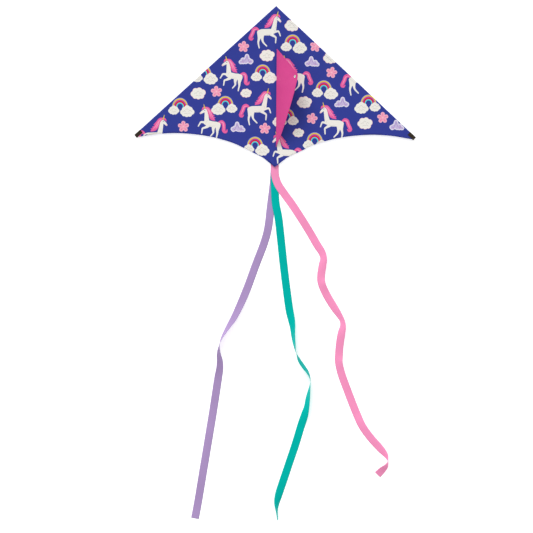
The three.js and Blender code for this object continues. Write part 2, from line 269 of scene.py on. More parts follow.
def hardMaterial(name, colour, scuff, roughness, metallic=0.0, relief=0.00003):
    return shader(name, handlingGroup, {
        "Colour": colour, "Scuff colour": scuff, "Roughness": roughness,
    }, relief, {"Metallic": metallic})


finishes = {
    "printedCloth": clothMaterial("printedCloth", fromPrint, relief=0.0001, roughness=0.58, contrast=0.07,
                                  sheen=0.08, specular=0.2, tint=sailBlue),
    "blueCloth": clothMaterial("blueCloth", sailBlue),
    "seamTape": clothMaterial("seamTape", linear(52, 68, 165), thread=0.0009, relief=0.0002),
    "keelCloth": clothMaterial("keelCloth", linear(212, 69, 139)),
    "webbing": clothMaterial("webbing", linear(50, 41, 30), thread=0.0016, relief=0.0005, roughness=0.8,
                             contrast=0.5, sheen=0.3),
    "blueThread": clothMaterial("blueThread", linear(38, 48, 130), thread=0.0003, roughness=0.7),
    "pinkThread": clothMaterial("pinkThread", linear(205, 60, 135), thread=0.0003, roughness=0.7),
    "darkThread": clothMaterial("darkThread", linear(30, 26, 22), thread=0.0003, roughness=0.75),
    "lilacSatin": satinMaterial("lilacSatin", linear(171, 145, 193)),
    "tealSatin": satinMaterial("tealSatin", linear(0, 178, 168)),
    "pinkSatin": satinMaterial("pinkSatin", linear(246, 148, 192)),
    "fibreglass": hardMaterial("fibreglass", linear(28, 28, 30), linear(70, 70, 74), 0.32),
    "vinyl": hardMaterial("vinyl", linear(24, 24, 24), linear(60, 60, 60), 0.5),
    "nylon": hardMaterial("nylon", linear(27, 27, 29), linear(66, 66, 68), 0.42, relief=0.00006),
    "nickel": hardMaterial("nickel", linear(226, 222, 214), linear(170, 165, 158), 0.24, metallic=1.0),
}


# mesh helpers
def meshPiece(name, points, faces, material, uvs):
    # uvs: one (u, v) in metres for each point
    data = bpy.data.meshes.new(name)
    data.from_pydata([tuple(p) for p in points], [], faces)
    layer = data.uv_layers.new(name="lie")
    for loop in data.loops:
        layer.data[loop.index].uv = uvs[loop.vertex_index]
    data.shade_smooth()
    data.materials.append(finishes[material])
    return linked(name, data)


def gridFaces(rows, count, closed=False, ring=False):
    # quads between rows of points; closed joins each row's ends, ring joins the last row to the first
    return [(i * count + k, i * count + (k + 1) % count,
             (i + 1) % rows * count + (k + 1) % count, (i + 1) % rows * count + k)
            for i in range(rows if ring else rows - 1) for k in range(count if closed else count - 1)]


def tubeFaces(rows, count):
    # a tube of quads with a flat face at each end
    return gridFaces(rows, count, True) + [tuple(reversed(range(count))),
                                           tuple(range((rows - 1) * count, rows * count))]


def gridPiece(name, rows, count, spot, material, thickness):
    # a sheet of rows of points: spot gives each point and its place on the flat cloth
    spots = [spot(i, k) for i in range(rows) for k in range(count)]
    piece = meshPiece(name, [p for p, _ in spots], gridFaces(rows, count), material, [uv for _, uv in spots])
    thicken(piece, thickness)
    return piece


def filled(points, rings, keep, folds=()):
    # the triangles inside rings of flat points; keep chooses by the rings that a triangle is in
    found, _, faces, _, _, owners = delaunay_2d_cdt(points, list(folds), rings, 1, 1e-6, True)
    kept = [f for f, o in zip(faces, owners) if keep(o)]
    used = sorted({v for f in kept for v in f})
    index = {v: i for i, v in enumerate(used)}
    return [found[v] for v in used], [tuple(index[v] for v in f) for f in kept]


def thicken(piece, thickness):
    # gives a sheet its thickness and makes that its final mesh
    shell = piece.modifiers.new("thickness", "SOLIDIFY")
    shell.thickness = thickness
    shell.offset = 0.0
    bpy.context.view_layer.update()
    graph = bpy.context.evaluated_depsgraph_get()
    final = bpy.data.meshes.new_from_object(piece.evaluated_get(graph), preserve_all_data_layers=True,
                                            depsgraph=graph)
    piece.modifiers.clear()
    piece.data = final


def loft(name, frames, section, material):
    # carries a section of (side, up) points along frames of (place, sideDirection, upDirection)
    points, uvs, girth, along = [], [], [0.0], 0.0
    for a, b in zip(section, section[1:]):
        girth.append(girth[-1] + math.dist(a, b))
    for i, (place, sideways, up) in enumerate(frames):
        along += (place - frames[i - 1][0]).length if i else 0.0
        for (a, b), g in zip(section, girth):
            points.append(place + sideways * a + up * b)
            uvs.append((along, g))
    piece = meshPiece(name, points, tubeFaces(len(frames), len(section)), material, uvs)
    outward(piece)
    return piece


def outward(piece):
    shape = bmesh.new()
    shape.from_mesh(piece.data)
    bmesh.ops.recalc_face_normals(shape, faces=shape.faces)
    shape.to_mesh(piece.data)
    shape.free()


def around(line, i):
    # the entries on either side of one in a line, or that one itself at an end
    return line[max(0, i - 1)], line[min(len(line) - 1, i + 1)]


def smoothPath(stations, steps):
    # a Catmull-Rom curve through stations of any dimension, evenly spaced over the first two
    ends = [tuple(2 * a - b for a, b in zip(stations[0], stations[1]))]
    tail = [tuple(2 * a - b for a, b in zip(stations[-1], stations[-2]))]
    full = ends + [tuple(s) for s in stations] + tail
    dense = []
    for p0, p1, p2, p3 in zip(full, full[1:], full[2:], full[3:]):
        knots = [0.0]
        for a, b in ((p0, p1), (p1, p2), (p2, p3)):
            knots.append(knots[-1] + max(math.dist(a[:2], b[:2]), 1e-6) ** 0.5)
        for k in range(24):
            t = knots[1] + (knots[2] - knots[1]) * k / 24

            def mix(a, b, ta, tb):
                return tuple(((tb - t) * x + (t - ta) * y) / (tb - ta) for x, y in zip(a, b))

            a1, a2, a3 = (mix(p0, p1, knots[0], knots[1]), mix(p1, p2, knots[1], knots[2]),
                          mix(p2, p3, knots[2], knots[3]))
            dense.append(mix(mix(a1, a2, knots[0], knots[2]), mix(a2, a3, knots[1], knots[3]),
                             knots[1], knots[2]))
    dense.append(tuple(stations[-1]))
    lengths = [0.0]
    for a, b in zip(dense, dense[1:]):
        lengths.append(lengths[-1] + math.dist(a[:2], b[:2]))
    result, j = [], 0
    for i in range(steps + 1):
        want = lengths[-1] * i / steps
        while j < len(lengths) - 2 and lengths[j + 1] < want:
            j += 1
        share = (want - lengths[j]) / max(lengths[j + 1] - lengths[j], 1e-9)
        result.append(tuple(x + (y - x) * share for x, y in zip(dense[j], dense[j + 1])))
    return result, lengths[-1]


def smoothstep(low, high, value):
    t = min(1.0, max(0.0, (value - low) / (high - low)))
    return t * t * (3 - 2 * t)


def stitchRow(name, line, body, thread, up=(0, 0, 1), pitch=0.004, length=0.003, radius=0.00028):
    # a row of lockstitches along a line of points that lies on the cloth
    points, faces, uvs = [], [], []
    carry, sides = pitch / 2, 6
    rings = ((-1.0, 0.15), (-0.7, 0.8), (0.0, 1.0), (0.7, 0.8), (1.0, 0.15))
    stitch = tubeFaces(len(rings), sides)
    up = Vector(up)
    for a, b in zip(line, line[1:]):
        a, b = Vector(a), Vector(b)
        step = (b - a).length
        if step < 1e-9:
            continue
        ahead = (b - a) / step
        sideways = ahead.cross(up).normalized()
        while carry <= step:
            middle = a + ahead * carry + up * radius * 0.6
            base = len(points)
            for reach, fat in rings:
                for s in range(sides):
                    turn = s / sides * math.tau
                    points.append(middle + ahead * reach * length / 2
                                  + (sideways * math.cos(turn) + up * math.sin(turn) * 0.8) * radius * fat)
                    uvs.append((reach * length / 2, turn * radius))
            faces += [tuple(base + v for v in face) for face in stitch]
            carry += pitch
        carry -= step
    piece = meshPiece(name, points, faces, thread, uvs)
    outward(piece)
    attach(piece, body)


def bandSection(width, thickness, curve=3):
    # a flat band's section with rounded edges
    half, round_ = width / 2 - thickness / 2, thickness / 2
    section = []
    for sign, start in ((1, -math.pi / 2), (-1, math.pi / 2)):
        for k in range(curve + 1):
            turn = start + math.pi * k / curve
            section.append((sign * half + round_ * math.cos(turn), round_ * math.sin(turn)))
    return section


def alongPath(path, sideways):
    # frames for a loft along a path in a plane that the sideways direction stands square to
    frames = []
    for i, place in enumerate(path):
        back, front = around(path, i)
        ahead = (Vector(front) - Vector(back)).normalized()
        frames.append((Vector(place), Vector(sideways), Vector(sideways).cross(ahead).normalized()))
    return frames


def dressed(piece, body, slot, *nodes):
    # attaches it to the body it rides on and hides the CAD nodes whose place it takes; the slot argument is not used
    if body:
        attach(piece, body)
    if nodes:
        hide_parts(*nodes)


def pathLength(spots):
    return sum((b - a).length for a, b in zip(spots, spots[1:]))


def ripple(x, y, z):
    return noise.noise(Vector((x, y, z)))


# the print: plain storybook shapes, each drawn about its own middle
ink = {
    "blue": sailBlue,
    "white": linear(236, 233, 225), "shade": linear(202, 199, 194), "blush": linear(246, 204, 208),
    "muzzle": linear(238, 196, 198), "rose": linear(230, 92, 156), "petal": linear(246, 150, 190),
    "gold": linear(224, 194, 56), "mist": linear(132, 134, 204), "sun": linear(232, 202, 36),
    "plum": linear(184, 62, 160), "cherry": linear(206, 28, 50), "sky": linear(80, 204, 214),
    "lilac": linear(196, 180, 218), "dusk": linear(160, 138, 194), "flower": linear(240, 162, 186),
    "flowerEdge": linear(246, 186, 200), "slate": linear(92, 98, 140), "mistPale": linear(224, 218, 234),
}


def brush(stations, steps=14):
    # a stroke of changing width: stations of (x, y, half width) in millimetres, with round ends
    line, _ = smoothPath([(x / 1000, y / 1000, w / 1000) for x, y, w in stations], steps)
    left, right = [], []
    for i, (x, y, w) in enumerate(line):
        (ax, ay, _), (bx, by, _) = around(line, i)
        run = math.hypot(bx - ax, by - ay) or 1e-9
        nx, ny = -(by - ay) / run, (bx - ax) / run
        left.append((x + nx * w, y + ny * w))
        right.append((x - nx * w, y - ny * w))

    def cap(at, toward, start):
        x, y, w = at
        angle = math.atan2(toward[1] - y, toward[0] - x)
        return [(x + w * math.cos(angle + start + k * math.pi / 5), y + w * math.sin(angle + start + k * math.pi / 5))
                for k in range(1, 5)]

    back = cap(line[0], line[1], math.pi / 2)
    front = cap(line[-1], (2 * line[-1][0] - line[-2][0], 2 * line[-1][1] - line[-2][1]), -math.pi / 2)
    return right + front + left[::-1] + back


def disc(x, y, radius, sides=20, squash=1.0):
    return [(x / 1000 + radius / 1000 * math.cos(i / sides * math.tau),
             y / 1000 + radius / 1000 * squash * math.sin(i / sides * math.tau)) for i in range(sides)]


def puffs(lumps, grow=0.0):
    return [disc(x, y, r + grow) for x, y, r in lumps]


def lobedCloud(lumps, size, edge, body):
    scaled = [(x * size, y * size, r * size) for x, y, r in lumps]
    curls = ([(-20, -4), (-13, 2), (-8, -3)], [(-8, 4), (-1, 11), (6, 5)], [(6, -2), (13, 4), (20, -2)],
             [(-12, -13), (-5, -9), (1, -14)], [(3, -12), (9, -8), (15, -13)])
    return ([(edge, p) for p in puffs(scaled, 1.9)] + [(body, p) for p in puffs(scaled)]
            + [("shade", brush([(x * size, y * size, 1.0) for x, y in path], 8)) for path in curls])


def roundCloud(size, edge="blush"):
    lumps = [(-23, -3, 12.5), (-13, 11, 13), (5, 14, 13), (21, 4, 14), (-15, -14, 11), (1, -17, 11), (16, -13, 11.5),
             (0, 0, 17)]
    return lobedCloud(lumps, size, edge, "white")


def tallCloud(size):
    lumps = [(-20, -5, 10), (-12, 6, 11), (0, 13, 12), (12, 7, 11.5), (21, -4, 10.5), (-14, -13, 9), (-2, -16, 9.5),
             (11, -14, 10), (0, 0, 16)]
    return lobedCloud(lumps, size, "white", "white")


def lilacCloud():
    # a low cloud with a tall middle lobe inside a pale edge
    lumps = [(-25, -13, 9), (-14, -3, 11), (-12, -13, 9), (0, -8, 13), (6, 10, 11), (6, 18, 8.5), (5, 0, 13),
             (17, -6, 12), (28, -9, 9), (25, -14, 8)]
    folds = [[(-6, -8, 0.9), (1, 4, 1.4), (6, 16, 0.9)], [(16, -10, 0.9), (12, 2, 1.4), (7, 16, 0.9)],
             [(-22, -14, 0.9), (-15, -5, 1.3), (-9, -11, 0.9)], [(18, -13, 0.9), (24, -8, 1.2), (28, -12, 0.8)]]
    spots = [disc(-15, -13, 2.2, 10), disc(18, -14, 2.2, 10)]
    return ([("mistPale", p) for p in puffs(lumps, 2.2)] + [("lilac", p) for p in puffs(lumps, -2.6)]
            + [("dusk", brush(path, 8)) for path in folds] + [("plum", p) for p in spots])


def starFlower(turn):
    # five round petals with short rays from the middle
    petals = [(18.5 * math.cos(turn + k * math.tau / 5), 18.5 * math.sin(turn + k * math.tau / 5), 9)
              for k in range(5)]
    lumps = petals + [(0, 0, 15)]
    rays = [brush([(9 * math.cos(a), 9 * math.sin(a), 0.6), (20 * math.cos(a), 20 * math.sin(a), 1.7)], 4)
            for a in (turn + k * math.tau / 5 for k in range(5))]
    return ([("flowerEdge", p) for p in puffs(lumps, 1.4)] + [("flower", p) for p in puffs(lumps, -0.6)]
            + [("rose", ray) for ray in rays] + [("flowerEdge", disc(0, 0, 4, 12))])


def rainbow(bigSide):
    # an arch that stands on a small and a larger cloud
    bands = [("mist", 46), ("sun", 42.5), ("plum", 36.5), ("cherry", 29.5), ("sky", 21.5), ("blue", 15.5)]
    arches = [(name, [(0.9 * r / 1000 * math.cos(k / 24 * math.pi), r / 1000 * math.sin(k / 24 * math.pi) + 0.007)
                      for k in range(25)] + [(-0.9 * r / 1000, -0.004), (0.9 * r / 1000, -0.004)])
              for name, r in bands]

    def moved(shapes, dx, dy):
        return [(name, [(x + dx, y + dy) for x, y in points]) for name, points in shapes]

    return (arches + moved(tallCloud(0.86), -0.0325 * bigSide, -0.010)
            + moved(tallCloud(1.12), 0.0365 * bigSide, -0.015))


def unicorn(legs, trunk, tail, mane, streaks, horn):
    # stations of (x, y, half width) in millimetres about the middle of the body
    shapes = [("rose", brush(tail, 24))]
    shapes += [("white", brush(s)) for s in legs + trunk]
    muzzleX, muzzleY, muzzleHalf = trunk[2][-1]
    shapes += [("muzzle", disc(muzzleX - 0.5, muzzleY, muzzleHalf * 0.9, 12))]
    shapes += [("rose", brush(s)) for s in mane]
    shapes += [("petal", brush(s)) for s in streaks]
    pollX, pollY, _ = trunk[2][0]
    shapes += [("shade", brush([(-16, -14, 0.5), (0, -16, 0.9), (14, -12, 0.5)], 8)),
               ("shade", brush([(20, 14, 0.4), (28, 6, 0.8), (30, -4, 0.4)], 8)),
               ("slate", brush([(pollX + 3, pollY, 0.8), (pollX + 6.5, pollY - 1, 1.6),
                                (pollX + 9, pollY - 3, 0.6)], 6))]
    baseX, baseY, tipX, tipY = horn
    shapes += [("gold", [(x / 1000, y / 1000) for x, y in (
        (baseX - 3.4, baseY + 1), (baseX + 3.4, baseY - 1), (tipX + 1, tipY - 0.3), (tipX - 1, tipY + 0.3))])]
    return shapes


# strokes that face right: prancing has its forequarters raised, striding a longer, level body
unicorns = {
    "prancing": {
        "legs": [
            [(24, -3, 9), (42, 4, 5.4), (55, 4, 4.6), (62, -6, 3.4), (68, -16, 2.9)],
            [(20, -16, 8), (36, -24, 5.2), (46, -27, 4.4), (49, -40, 3.4), (51, -52, 2.9)],
            [(-10, -18, 10), (-8, -36, 6), (-9, -48, 4.4), (-2, -58, 3.4), (5, -66, 2.9)],
            [(-32, -14, 13), (-29, -38, 7), (-29, -54, 4.6), (-26, -68, 3.5), (-24, -80, 2.9)],
        ],
        "trunk": [
            [(29, 2, 12), (14, -2, 15), (-6, -6, 14.5), (-24, -8, 15), (-34, -8, 12)],
            [(24, 2, 14), (26, 26, 11), (27, 48, 9.5), (29, 63, 8.5)],
            [(30, 65, 8.5), (42, 60, 7), (51, 54, 5.6), (57, 49.5, 4.6)], [(26, 69, 3.2), (26, 79, 0.8)],
        ],
        "tail": [(-38, 4, 5.5), (-51, 7, 8.5), (-60, -4, 9.5), (-62, -22, 9), (-62, -37, 9.5), (-70, -45, 7.5),
                 (-77, -42, 4.5), (-79, -32, 1.8)],
        "mane": [
            [(31, 78, 5), (20, 73, 8), (12, 58, 9.5), (6, 39, 10), (-2, 24, 9.5), (-15, 15, 3)],
            [(11, 66, 6), (-2, 54, 4), (-9, 50, 1)], [(6, 48, 7), (-7, 38, 4), (-14, 37, 1)],
            [(2, 34, 7), (-10, 27, 4), (-18, 28, 1)], [(33, 78, 4.5), (43, 76, 5), (50, 67, 1.5)],
        ],
        "streaks": [
            [(27, 77, 1.4), (17, 66, 2.4), (10, 48, 2.2), (2, 28, 1)],
            [(20, 74, 1), (8, 58, 2), (0, 40, 1.7), (-9, 24, 0.8)],
            [(-42, 6, 1), (-57, 3, 2.4), (-62, -18, 2.2), (-63, -36, 1)],
        ],
        "horn": (36, 73.5, 41, 96)},
    "striding": {
        "legs": [
            [(22, -2, 10), (36, -1, 5.6), (48, 1, 4.6), (54, -10, 3.4), (58, -22, 2.9)],
            [(12, -14, 9), (26, -24, 5.4), (35, -30, 4.4), (35, -45, 3.4), (34, -58, 2.9)],
            [(-36, -16, 12), (-34, -38, 6.5), (-30, -53, 4.5), (-20, -65, 3.5), (-11, -74, 2.9)],
            [(-46, -12, 14), (-50, -36, 7), (-54, -54, 4.6), (-52, -70, 3.5), (-49, -84, 2.9)],
        ],
        "trunk": [
            [(24, 2, 12), (4, -3, 16), (-18, -4, 16), (-38, -5, 16), (-48, -6, 13)],
            [(22, 2, 14), (28, 30, 11), (32, 52, 9.5), (35, 68, 8.5)],
            [(36, 70, 8.5), (46, 64, 7), (53, 57, 5.6), (58, 51, 4.6)], [(33, 74, 3.2), (33, 84, 0.8)],
        ],
        "tail": [(-55, 8, 5.5), (-66, 14, 8.5), (-77, 9, 9.5), (-83, -8, 9.5), (-91, -25, 9.5), (-95, -37, 8.5),
                 (-87, -42, 5.5), (-79, -34, 1.8)],
        "mane": [
            [(39, 83, 5), (26, 79, 8.5), (15, 64, 9.5), (9, 46, 10), (-2, 31, 9.5), (-19, 21, 4)],
            [(13, 68, 6), (-1, 55, 4), (-8, 52, 1)], [(8, 50, 7), (-8, 40, 4), (-15, 40, 1)],
            [(2, 37, 7), (-14, 30, 4), (-22, 32, 1)], [(41, 83, 4.5), (50, 80, 5), (56, 71, 1.5)],
        ],
        "streaks": [
            [(33, 82, 1.4), (21, 70, 2.4), (14, 52, 2.2), (3, 34, 1)],
            [(25, 79, 1), (12, 62, 2), (3, 46, 1.7), (-9, 30, 0.8)],
            [(-60, 12, 1), (-76, 8, 2.4), (-84, -10, 2.2), (-93, -30, 1)],
        ],
        "horn": (41, 79.5, 46.5, 103)},
}


def mirrored(shapes):
    return [(name, [(-x, y) for x, y in reversed(points)]) for name, points in shapes]


# where each shape is printed: across from the spine and down from the nose, in millimetres
layout = {
    "striding": [(-36, 130), (-82, 523), (-612, 663), (434, 367)],
    "stridingLeft": [(88, 354), (289, 592), (49, 744)],
    "prancingLeft": [(-214, 354), (-324, 600)],
    "rainbow": [(85, 196), (-66, 350), (-368, 358), (-486, 525), (-102, 719),
                (246, 429), (202, 695)],
    "rainbowLeft": [(-255, 513), (475, 500), (58, 573)],
    "cloud": [(82, 98), (-44, 252), (-394, 449), (280, 261), (148, 489), (458, 594)],
    "smallCloud": [(-150, 445), (119, 645)],
    "lilacCloud": [(-153, 274), (337, 489)],
    "lilacCloudLeft": [(187, 283), (-188, 620), (622, 604)],
    "flower": [(-165, 209), (202, 204), (-301, 439), (285, 337), (-468, 619),
               (-53, 625), (187, 572), (548, 565)],
}


def printedShapes():
    makers = {
        "striding": lambda: unicorn(**unicorns["striding"]),
        "stridingLeft": lambda: mirrored(unicorn(**unicorns["striding"])),
        "prancingLeft": lambda: mirrored(unicorn(**unicorns["prancing"])),
        "rainbow": lambda: rainbow(1), "rainbowLeft": lambda: rainbow(-1),
        "cloud": lambda: roundCloud(1.04), "smallCloud": lambda: roundCloud(0.77),
        "lilacCloud": lilacCloud, "lilacCloudLeft": lambda: mirrored(lilacCloud()),
        "flower": lambda: starFlower(random.uniform(1.3, 1.85)),
    }
    placed = []
    for kind, places in layout.items():
        for across, down in places:
            placed += [(name, [(x + across / 1000, y + noseY - down / 1000) for x, y in points])
                       for name, points in makers[kind]()]
    return placed


# sail
def flatOutlines(node, toLocal=tuple):
    # the outlines of the top face of a flat CAD solid, from that face's free edges
    data = frame["nodes"][node].data
    local = [toLocal(v.co) for v in data.vertices]
    top = max(w for _, _, w in local)
    key = [(round(u, 5), round(v, 5)) for u, v, _ in local]
    edges = {}
    for polygon in data.polygons:
        if all(abs(local[v][2] - top) < 1e-5 for v in polygon.vertices):
            ring = [key[v] for v in polygon.vertices]
            edges.update(dict.fromkeys(zip(ring, ring[1:] + ring[:1])))
    free = {a: b for a, b in edges if (b, a) not in edges}
    loops = []
    while free:
        start = next(iter(free))
        loop, at = [start], free.pop(start)
        while at != start:
            loop.append(at)
            at = free.pop(at)
        loops.append(loop)
    return loops


def planOutline(node):
    return flatOutlines(node)[0]


cloth = {"grid": 0.011, "thickness": 0.00024, "sag": 0.0020, "ridge": 0.0005, "ridgeHalf": 0.005,
         "shoulder": 0.0028, "shoulderReach": 0.024, "flutter": 0.0011, "crease": 0.00055,
         "foldStart": 0.0057, "foldEnd": 0.0092, "foldRows": (0.0022, 0.0044, 0.0056, 0.007, 0.009, 0.012)}
wingTip = max(planOutline("sail_right"), key=lambda p: p[0])
edgeAngle = math.atan2(noseY - wingTip[1], wingTip[0])


def edgeDistance(x, y):
    # how far in from the straight leading edge a point is
    return abs(x) * -math.sin(edgeAngle) + (noseY - y) * math.cos(edgeAngle)


def sailHeight(x, y):
    # the cloth sags a little between spine and leading edge, rides over the spine rod and creases softly
    down = noseY - y
    inset = edgeDistance(x, y)
    reach = max(0.02, down / math.tan(edgeAngle))
    share = min(1.0, abs(x) / reach)
    sag = -cloth["sag"] * math.sin(math.pi * share) ** 1.4 * smoothstep(0.0, 0.25, down)
    sag -= cloth["shoulder"] * smoothstep(0.005, cloth["shoulderReach"], abs(x)) \
        * (1 - smoothstep(0.06, 0.2, abs(x))) * smoothstep(0.03, 0.2, down) * smoothstep(0.01, 0.1, inset)
    ridge = cloth["ridge"] * math.exp(-(x / cloth["ridgeHalf"]) ** 2) * smoothstep(0, 0.06, down)
    place = Vector((x * 3.0, y * 3.0, 0.7))
    flutter = cloth["flutter"] * noise.noise(place * 1.7) * smoothstep(0.01, 0.08, inset)
    out = math.atan2(noseY - wingTip[1] - down, wingTip[0] - abs(x))
    fromTip = math.hypot(wingTip[0] - abs(x), wingTip[1] - y)
    pull = math.sin(out * 26 + 3 * noise.noise(place)) * math.exp(-fromTip * 4)
    creases = cloth["crease"] * (pull + ripple(x * 9, y * 22, 4.0))
    # pulled flatter over the spreader's ends
    taut = 1 - 0.75 * smoothstep(0.24, 0.31, abs(x)) * (1 - smoothstep(0.40, 0.48, abs(x)))
    return sailZ + ridge + taut * smoothstep(0.006, 0.03, abs(x)) * (
        sag + flutter + creases * smoothstep(0.004, 0.03, inset))


def foldBeside(piece):
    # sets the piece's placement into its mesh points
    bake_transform(piece)


def sailPanel(side, shapes):
    label = "Right" if side > 0 else "Left"
    node = f"sail_{label.lower()}"
    outline = [(0.0 if abs(x) < foldX + 0.001 else x, y) for x, y in planOutline(node)]
    outline = [(x, noseY if x == 0 and y > 0.8 * noseY else (rearY if x == 0 else y)) for x, y in outline]
    points, rings, inks = [], [], []

    def ringOf(loop, name):
        start = len(points)
        points.extend(Vector(p) for p in loop)
        rings.append(list(range(start, len(points))))
        inks.append(name)

    ringOf(outline, "blue")
    lowX, highX = min(p[0] for p in outline), max(p[0] for p in outline)
    for name, loop in shapes:
        if max(p[0] for p in loop) > lowX and min(p[0] for p in loop) < highX:
            ringOf(loop, name)
    step = cloth["grid"]
    for row in range(int((noseY - rearY) / step)):
        y = noseY - step * (row + 0.5)
        for column in range(int((highX - lowX) / step)):
            x = lowX + step * (column + (0.5 if row % 2 else 0.0))
            if edgeDistance(x, y) > 0.003:
                points.append(Vector((x, y)))
    folds = []
    for x in cloth["foldRows"]:
        folds.extend((len(points) + k, len(points) + k + 1) for k in range(98))
        points.extend(Vector((side * x, noseY - 0.02 - k * 0.008)) for k in range(99))
    found, _, faces, _, _, owners = delaunay_2d_cdt(points, folds, rings, 1, 1e-6, True)
    kept = [(f, max(o)) for f, o in zip(faces, owners) if 0 in o]
    data = bpy.data.meshes.new(f"sailPanel{label}")
    data.from_pydata([(p.x, p.y, sailHeight(p.x, p.y)) for p in found], [], [tuple(f) for f, _ in kept])
    data.color_attributes.new("print", "FLOAT_COLOR", "CORNER")
    data.uv_layers.new(name="lie")
    layer, tint = data.uv_layers["lie"], data.color_attributes["print"]
    for polygon, (_, owner) in zip(data.polygons, kept):
        for loop in polygon.loop_indices:
            point = found[data.loops[loop].vertex_index]
            layer.data[loop].uv = (point.x, point.y)
            tint.data[loop].color = ink[inks[owner]]
    data.shade_smooth()
    data.materials.append(finishes["printedCloth"])
    piece = linked(f"sailPanel{label}", data)
    shape = bmesh.new()
    shape.from_mesh(data)
    bmesh.ops.delete(shape, geom=[v for v in shape.verts if not v.link_faces], context="VERTS")
    shape.to_mesh(data)
    shape.free()
    area = sum(p.area for p in data.polygons)
    thicken(piece, cloth["thickness"])
    foldBeside(piece)
    dressed(piece, None, "sail_fabric", node, *(["centre_strip"] if side > 0 else []))
    return piece, (highX - lowX, noseY - rearY), area


print("sail")
shapes = printedShapes()
sails = {"left": sailPanel(-1, shapes), "right": sailPanel(1, shapes)}

# the edge frame: out along a wing's leading edge from the nose, and in from that edge
def edgeFrame(side):
    out = Vector((side * math.cos(edgeAngle), -math.sin(edgeAngle), 0))
    inward = Vector((-side * math.sin(edgeAngle), -math.cos(edgeAngle), 0))

    def place(along, inset, z):
        spot = Vector((0, noseY, 0)) + out * along + inward * inset
        return Vector((spot.x, spot.y, z))

    return out, inward, place


def onSail(point, lift=0.0):
    return Vector((point.x, point.y, sailHeight(point.x, point.y) + cloth["thickness"] / 2 + lift))


def trailingLine(side, inset):
    # the trailing edge from the wing tip to the rear corner, moved in by an inset
    outline = planOutline(f"sail_{'right' if side > 0 else 'left'}")
    edge = sorted((p for p in outline if edgeDistance(*p) > 0.004 and abs(p[0]) > foldX + 0.001),
                  key=lambda p: -abs(p[0]))
    edge.append((side * (foldX + 0.006), rearY + (foldX + 0.006) * 0.8))
    line = []
    for i, (x, y) in enumerate(edge):
        (ax, ay), (bx, by) = around(edge, i)
        ahead = Vector((bx - ax, by - ay, 0)).normalized()
        line.append(Vector((x, y, 0)) + ahead.cross(Vector((0, 0, side))) * inset)
    return line


sleeve = {"stitchInset": 0.0118, "thickness": 0.00025, "pucker": 0.00035, "hem": 0.007, "hemStitch": 0.005}


def alongSpan(node, side):
    # where a piece on the leading edge starts and ends, as distances from the nose along it
    out, _, _ = edgeFrame(side)
    reach = [(v.co - Vector((0, noseY, 0))).dot(out) for v in frame["nodes"][node].data.vertices]
    return min(reach), max(reach)


def leadingSleeve(side, label, part):
    # the hem folded under the leading edge and sewn down, with the rod inside it
    node = f"leading_edge_sleeve_{part}_{label}"
    _, _, place = edgeFrame(side)
    start, end = alongSpan(node, side)
    under = sailZ - cloth["thickness"] / 2 - sleeve["thickness"] / 2 - 0.0001
    path, girth = smoothPath([
        (0.0002, under), (0.0001, 0.0098), (0.0005, 0.0078), (0.0015, 0.0062),
        (0.0033, sparZ - sparRadius - 0.0005), (0.0052, 0.0062), (0.0066, 0.0080), (0.0088, 0.0102),
        (0.0108, under), (0.0128, under)], 22)
    steps = int((end - start) / 0.012)

    def spot(i, k):
        along = start + (end - start) * i / steps
        inset, z = path[k]
        share = k / (len(path) - 1)
        slack = math.sin(math.pi * share)
        pucker = sleeve["pucker"] * slack * math.sin(along * 420 + side) * ripple(along * 30, side, 5)
        at = place(along, inset, z + pucker - 0.0002 * slack * (1 + ripple(along * 18, 2, side)))
        if share > 0.85:  # the sewn flap lies against the sail
            at.z = min(at.z, sailHeight(at.x, at.y) - 0.0003)
        return at, (along, share * girth)

    piece = gridPiece(f"leadingSleeve{part.title()}{label.title()}", steps + 1, len(path), spot, "blueCloth",
                      sleeve["thickness"])
    dressed(piece, f"wing_{label}", "sail_fabric", node)


tipWebbing = {"width": 0.020, "inset": 0.009, "half": 0.00045, "bend": 0.0035}


def webbingPocket(side, label):
    # webbing folded over the wing tip and sewn through, round the end of the rod
    node = f"wing_tip_pocket_{label}"
    _, inward, place = edgeFrame(side)
    start, end = alongSpan(node, side)
    low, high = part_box(node)
    half, bend, inset = tipWebbing["half"], tipWebbing["bend"], tipWebbing["inset"]
    top, bottom = high.z - half, low.z + half
    run, turns = end - bend - start, [math.pi / 2 * k / 6 for k in range(1, 7)]
    path = [(start + run * k / 10, top) for k in range(11)]
    path += [(end - bend + (bend - half) * math.sin(t), top - bend + bend * math.cos(t)) for t in turns]
    path += [(end - half, bottom + bend)]
    path += [(end - bend + (bend - half) * math.cos(t), bottom + bend - bend * math.sin(t)) for t in turns]
    path += [(end - bend - run * k / 10, bottom) for k in range(1, 11)]
    spots = [place(along, inset, z) for along, z in path]
    piece = loft(f"tipPocket{label.title()}", alongPath(spots, inward), bandSection(tipWebbing["width"], 2 * half),
                 "webbing")
    dressed(piece, f"wing_{label}", "webbing", node)
    pathLength(spots)
    corners = [(start + 0.003, 0.002), (start + 0.003, 0.0165), (end - 0.010, 0.0165), (end - 0.010, 0.002)]
    square = [place(a, i, top + half) for a, i in corners]
    for k, (a, b) in enumerate([(0, 1), (1, 2), (2, 3), (3, 0), (0, 2), (1, 3)]):
        stitchRow(f"tipStitch{label.title()}{k}", [square[a], square[b]], f"wing_{label}", "darkThread",
                  pitch=0.0028, length=0.0022, radius=0.0003)


